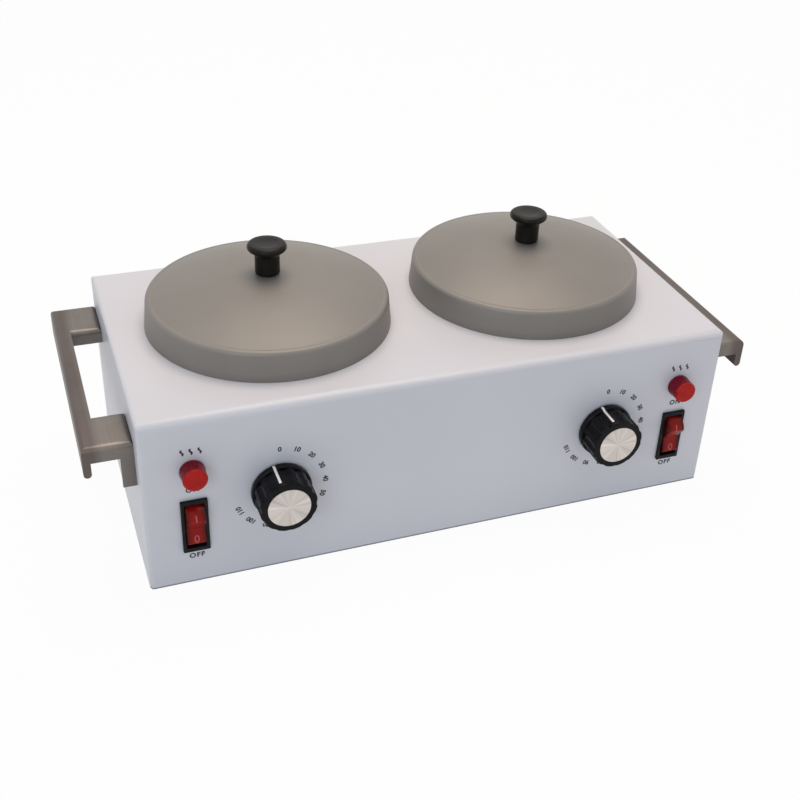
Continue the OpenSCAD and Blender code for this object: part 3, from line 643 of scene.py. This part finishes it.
def pointer_line(side):
    """White line along the ridge of the grip that points at the scale."""
    cap = middle(side + "_dial_cap")
    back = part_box(side + "_dial_knob")[1].y
    points = []
    for radius, out in POINTER_PATH:
        for k in range(POINTER_STEPS + 1):
            turn = POINTER_TURN + (k / POINTER_STEPS - 0.5) * POINTER_W / (radius * MM)
            points.append((cap.x + radius * MM * math.sin(turn), back - out * MM,
                           cap.z + radius * MM * math.cos(turn)))
    row = POINTER_STEPS + 1
    faces = []
    for start in range(0, (len(POINTER_PATH) - 1) * row, row):
        for a in range(start, start + POINTER_STEPS):
            faces.append((a, a + 1, a + row + 1, a + row))
    mesh = built("pointer", points, faces)
    obj = piece(side + "_pointer_line", mesh, side + "_dial", "mark_white")
    thick = obj.modifiers.new("thick", "SOLIDIFY")
    thick.thickness = POINTER_T
    thick.offset = 0


for side in SIDES:
    dial_scale(side)
    switch_words(side)
    heat_waves(side)
    rocker_marks(side)
    pointer_line(side)


# Camera at the photograph's viewing angle: place, turn, and focal length and middle in its pixels
CAMERA_PLACE = Vector((-198.9, -531.7, 407.6)) * MM + Vector((0, 0, EDGE_Z))
CAMERA_YAW = math.radians(22.17)
CAMERA_PITCH = math.radians(31.82)
CAMERA_ROLL = math.radians(3.06)
IMAGE_PX = 800
FOCAL_PX = 1192.8
AXIS_PX = (429.1, 369.0)
CLIP_END = 20


def add_camera():
    data = bpy.data.cameras.new("camera")
    obj = bpy.data.objects.new("camera", data)
    bpy.context.scene.collection.objects.link(obj)
    forward = Vector((math.sin(CAMERA_YAW) * math.cos(CAMERA_PITCH),
                      math.cos(CAMERA_YAW) * math.cos(CAMERA_PITCH),
                      -math.sin(CAMERA_PITCH)))
    turn = forward.to_track_quat("-Z", "Y") @ Quaternion((0, 0, 1), CAMERA_ROLL)
    obj.matrix_world = Matrix.Translation(CAMERA_PLACE) @ turn.to_matrix().to_4x4()
    data.lens = FOCAL_PX / IMAGE_PX * data.sensor_width
    data.shift_x = (IMAGE_PX / 2 - AXIS_PX[0]) / IMAGE_PX
    data.shift_y = (AXIS_PX[1] - IMAGE_PX / 2) / IMAGE_PX
    data.clip_end = CLIP_END
    bpy.context.scene.camera = obj


# Floor and world
FLOOR_REACH = 4.0
# Share of the floor that is seen as plain white; the rest takes the shadow
FLOOR_WHITE = 0.96
FILL_COLOUR = (0.83, 0.89, 1.0, 1)
FILL_STRENGTH = 0.41


def seen_by_eye(n):
    """1 for camera, glossy and transmission rays, else 0."""
    rays = n.add("ShaderNodeLightPath")
    seen = rays.outputs["Is Camera Ray"]
    for kind in ("Is Glossy Ray", "Is Transmission Ray"):
        either = n.add("ShaderNodeMath", operation="MAXIMUM")
        n.link(seen, either.inputs[0])
        n.link(rays.outputs[kind], either.inputs[1])
        seen = either.outputs["Value"]
    return seen


def mixed(n, amount, shader, other, target):
    """Links a shader, turned into another by an amount, to the target socket."""
    mix = n.add("ShaderNodeMixShader")
    n.link(amount, mix.inputs["Fac"])
    n.link(shader, mix.inputs[1])
    n.link(other, mix.inputs[2])
    n.link(mix.outputs["Shader"], target)


def add_floor():
    """Pale floor: the camera sees it nearly white, and it keeps the shadow."""
    r = FLOOR_REACH
    mesh = built("floor", [(-r, -r, 0), (r, -r, 0), (r, r, 0), (-r, r, 0)], [(0, 1, 2, 3)])
    floor = bpy.data.objects.new("floor", mesh)
    bpy.context.scene.collection.objects.link(floor)
    n = Nodes("floor_white")
    n.colour(n.blotches(n.noise(3), (0.86, 0.86, 0.86), (0.88, 0.88, 0.88)))
    n.set(Roughness=0.9)
    glow = n.add("ShaderNodeEmission")
    glow.inputs["Color"].default_value = (1, 1, 1, 1)
    share = n.math_node("MULTIPLY", seen_by_eye(n), FLOOR_WHITE)
    surface = n.tree.nodes["Material Output"].inputs["Surface"]
    mixed(n, share, n.shader.outputs["BSDF"], glow.outputs["Emission"], surface)
    mesh.materials.append(n.material)


class WorldNodes(Nodes):
    """The world's node tree, with the same short calls."""

    def __init__(self):
        world = bpy.data.worlds.new("studio")
        world.use_nodes = True
        bpy.context.scene.world = world
        self.tree = world.node_tree


def add_world():
    """White where it is seen, and a dimmer cool fill as light."""
    n = WorldNodes()
    fill = n.tree.nodes["Background"]
    fill.inputs["Color"].default_value = FILL_COLOUR
    fill.inputs["Strength"].default_value = FILL_STRENGTH
    white = n.add("ShaderNodeBackground")
    white.inputs["Color"].default_value = (1, 1, 1, 1)
    surface = n.tree.nodes["World Output"].inputs["Surface"]
    mixed(n, seen_by_eye(n), fill.outputs["Background"], white.outputs["Background"], surface)


def area_light(name, place, target, size, watts, colour):
    data = bpy.data.lights.new(name, "AREA")
    data.shape = "DISK"
    data.size = size
    data.energy = watts
    data.color = colour
    obj = bpy.data.objects.new(name, data)
    bpy.context.scene.collection.objects.link(obj)
    place = Vector(place)
    turn = (Vector(target) - place).to_track_quat("-Z", "Y")
    obj.matrix_world = Matrix.Translation(place) @ turn.to_matrix().to_4x4()


add_camera()
add_floor()
add_world()
area_light("top_warm", place=(0.1, 0.25, 1.5), target=(0, 0, 0.08),
           size=1.1, watts=13.2, colour=(1.0, 0.85, 0.71))
area_light("front_cool", place=(-0.95, -1.2, 0.8), target=(-0.05, 0, 0.06),
           size=1.0, watts=5.0, colour=(0.74, 0.87, 1.0))

bpy.context.scene.view_settings.view_transform = "Standard"
